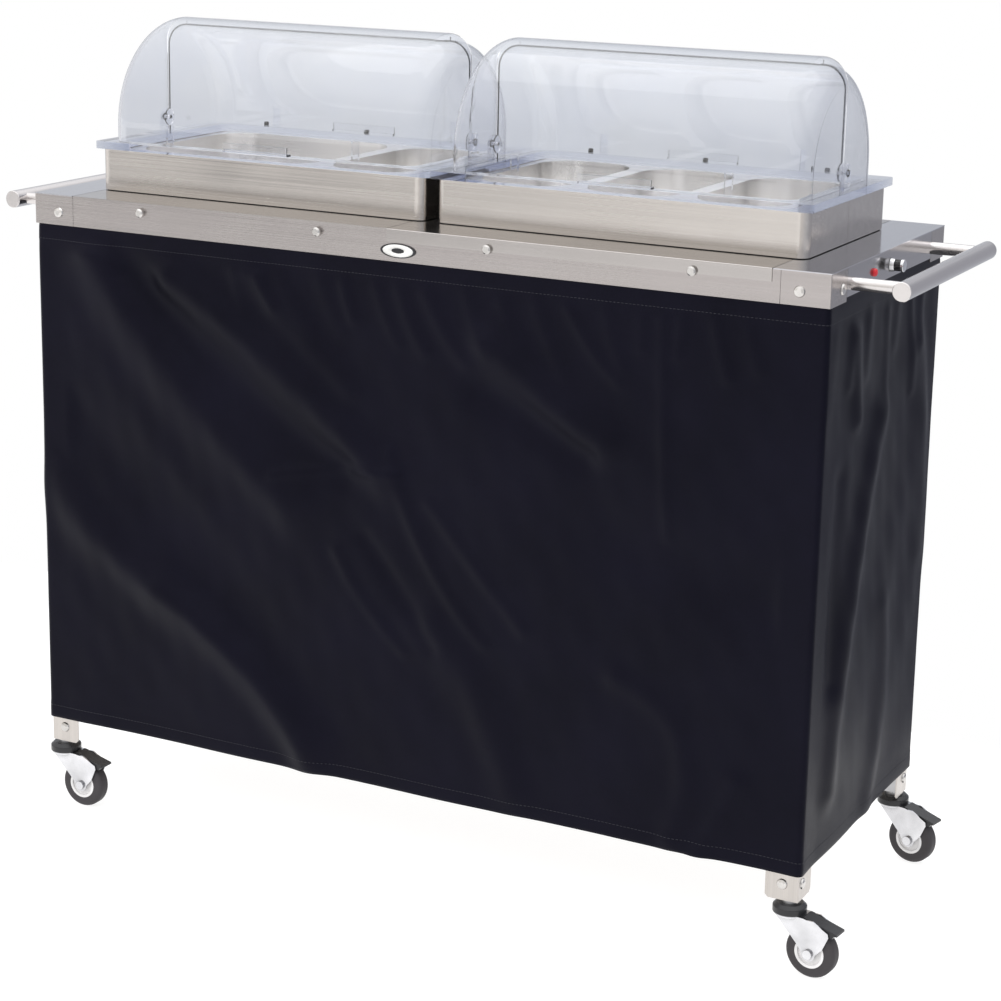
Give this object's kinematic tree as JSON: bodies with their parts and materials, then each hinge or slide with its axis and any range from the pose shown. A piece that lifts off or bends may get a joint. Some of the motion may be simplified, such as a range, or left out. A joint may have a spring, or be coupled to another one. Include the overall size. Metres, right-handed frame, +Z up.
{
  "type": "steam table",
  "caption": "Mobile steam table with heated pan wells under clear roll-top lids, push handles, a cloth skirt and braked swivel casters.",
  "frame": {"origin": "on the floor under the centre of the table", "axes": "+X along the length towards the control end, -Y towards the customer side, +Z up"},
  "size_m": [1.546, 0.5294, 1.3145],
  "materials": {
    "stainless": "satin brushed",
    "handle_steel": "fine brushed tube",
    "pan_steel": "bright drawn steel",
    "fastener": "bright",
    "chrome": "plated",
    "zinc": "zinc plated",
    "hub": "moulded, pale grey",
    "tyre": "matte rubber",
    "black_plastic": "moulded",
    "rubber": "matte",
    "clear_plastic": "clear polycarbonate",
    "skirt_cloth": "coated woven cloth with soft sheen",
    "element": "dark oxide",
    "lamp_red": "glossy translucent lens",
    "badge": "gloss with pale rim"
  },
  "bodies": {
    "table": {"leg_front_left": "stainless", "leg_front_right": "stainless", "leg_back_left": "stainless", "leg_back_right": "stainless", "housing_left": "stainless", "end_panel_left": "stainless", "handle_left": "handle_steel", "bay_plate_left": "stainless", "housing_right": "stainless", "end_panel_right": "stainless", "handle_right": "handle_steel", "bay_plate_right": "stainless", "apron_front": "stainless", "apron_back": "stainless", "corner_plates": "stainless", "deck_ends": "stainless", "deck_crossbar": "stainless", "lower_shelf": "stainless", "badge": "badge", "frame_bolts": "fastener", "deck_studs": "fastener", "skirt": "skirt_cloth", "caster_mounts": "zinc", "caster_cups": "black_plastic", "wells": "pan_steel", "pan_two_thirds": "pan_steel", "third_pans": "pan_steel", "heating_elements": "element", "housing_gaskets": "rubber", "thermostat": "black_plastic", "pilot_lamp": "lamp_red", "power_inlet": "black_plastic"},
    "lid_left": {"lid_frame_left": "clear_plastic", "pivot_pins_left": "fastener", "lid_bumpers_left": "rubber"},
    "front_door_left": {"front_door_left": "clear_plastic"},
    "rear_door_left": {"rear_door_left": "clear_plastic"},
    "lid_right": {"lid_frame_right": "clear_plastic", "pivot_pins_right": "fastener", "lid_bumpers_right": "rubber"},
    "front_door_right": {"front_door_right": "clear_plastic"},
    "rear_door_right": {"rear_door_right": "clear_plastic"},
    "caster_front_left": {"fork_front_left": "chrome"},
    "wheel_front_left": {"hub_front_left": "hub", "tyre_front_left": "tyre"},
    "brake_front_left": {"pedal_front_left": "black_plastic"},
    "caster_front_right": {"fork_front_right": "chrome"},
    "wheel_front_right": {"hub_front_right": "hub", "tyre_front_right": "tyre"},
    "brake_front_right": {"pedal_front_right": "black_plastic"},
    "caster_back_left": {"fork_back_left": "chrome"},
    "wheel_back_left": {"hub_back_left": "hub", "tyre_back_left": "tyre"},
    "brake_back_left": {"pedal_back_left": "black_plastic"},
    "caster_back_right": {"fork_back_right": "chrome"},
    "wheel_back_right": {"hub_back_right": "hub", "tyre_back_right": "tyre"},
    "brake_back_right": {"pedal_back_right": "black_plastic"},
    "knob": {"control_knob": "black_plastic", "knob_trim": "chrome"}
  },
  "joints": [
    {"name": "lid_lift_left", "type": "slide", "parent": "table", "child": "lid_left", "axis": [0, 0, 1], "range_m": [0, 0.25]},
    {"name": "front_door_hinge_left", "type": "hinge", "parent": "lid_left", "child": "front_door_left", "pos_m": [-0.308, 0, 1.1475], "axis": [-1, 0, 0], "range_deg": [0, 85]},
    {"name": "rear_door_hinge_left", "type": "hinge", "parent": "lid_left", "child": "rear_door_left", "pos_m": [-0.308, 0, 1.1475], "axis": [1, 0, 0], "range_deg": [0, 85]},
    {"name": "lid_lift_right", "type": "slide", "parent": "table", "child": "lid_right", "axis": [0, 0, 1], "range_m": [0, 0.25]},
    {"name": "front_door_hinge_right", "type": "hinge", "parent": "lid_right", "child": "front_door_right", "pos_m": [0.308, 0, 1.1475], "axis": [-1, 0, 0], "range_deg": [0, 85]},
    {"name": "rear_door_hinge_right", "type": "hinge", "parent": "lid_right", "child": "rear_door_right", "pos_m": [0.308, 0, 1.1475], "axis": [1, 0, 0], "range_deg": [0, 85]},
    {"name": "swivel_front_left", "type": "hinge", "parent": "table", "child": "caster_front_left", "pos_m": [-0.654, -0.239, 0.09], "axis": [0, 0, 1], "continuous": true},
    {"name": "wheel_spin_front_left", "type": "hinge", "parent": "caster_front_left", "child": "wheel_front_left", "pos_m": [-0.614, -0.239, 0.0395], "axis": [0, 1, 0], "continuous": true},
    {"name": "brake_press_front_left", "type": "hinge", "parent": "caster_front_left", "child": "brake_front_left", "pos_m": [-0.614, -0.239, 0.0865], "axis": [0, 1, 0], "range_deg": [0, 9]},
    {"name": "swivel_front_right", "type": "hinge", "parent": "table", "child": "caster_front_right", "pos_m": [0.654, -0.239, 0.09], "axis": [0, 0, 1], "continuous": true},
    {"name": "wheel_spin_front_right", "type": "hinge", "parent": "caster_front_right", "child": "wheel_front_right", "pos_m": [0.69378, -0.24318, 0.0395], "axis": [0.1045, 0.9945, 0], "continuous": true},
    {"name": "brake_press_front_right", "type": "hinge", "parent": "caster_front_right", "child": "brake_front_right", "pos_m": [0.69378, -0.24318, 0.0865], "axis": [0.1045, 0.9945, 0], "range_deg": [0, 9]},
    {"name": "swivel_back_left", "type": "hinge", "parent": "table", "child": "caster_back_left", "pos_m": [-0.654, 0.239, 0.09], "axis": [0, 0, 1], "continuous": true},
    {"name": "wheel_spin_back_left", "type": "hinge", "parent": "caster_back_left", "child": "wheel_back_left", "pos_m": [-0.61487, 0.23068, 0.0395], "axis": [0.2079, 0.9781, 0], "continuous": true},
    {"name": "brake_press_back_left", "type": "hinge", "parent": "caster_back_left", "child": "brake_back_left", "pos_m": [-0.61487, 0.23068, 0.0865], "axis": [0.2079, 0.9781, 0], "range_deg": [0, 9]},
    {"name": "swivel_back_right", "type": "hinge", "parent": "table", "child": "caster_back_right", "pos_m": [0.654, 0.239, 0.09], "axis": [0, 0, 1], "continuous": true},
    {"name": "wheel_spin_back_right", "type": "hinge", "parent": "caster_back_right", "child": "wheel_back_right", "pos_m": [0.69313, 0.23068, 0.0395], "axis": [0.2079, 0.9781, 0], "continuous": true},
    {"name": "brake_press_back_right", "type": "hinge", "parent": "caster_back_right", "child": "brake_back_right", "pos_m": [0.69313, 0.23068, 0.0865], "axis": [0.2079, 0.9781, 0], "range_deg": [0, 9]},
    {"name": "knob_turn", "type": "hinge", "parent": "table", "child": "knob", "pos_m": [0.675, 0, 1.0195], "axis": [1, 0, 0], "range_deg": [0, 270]}
  ]
}
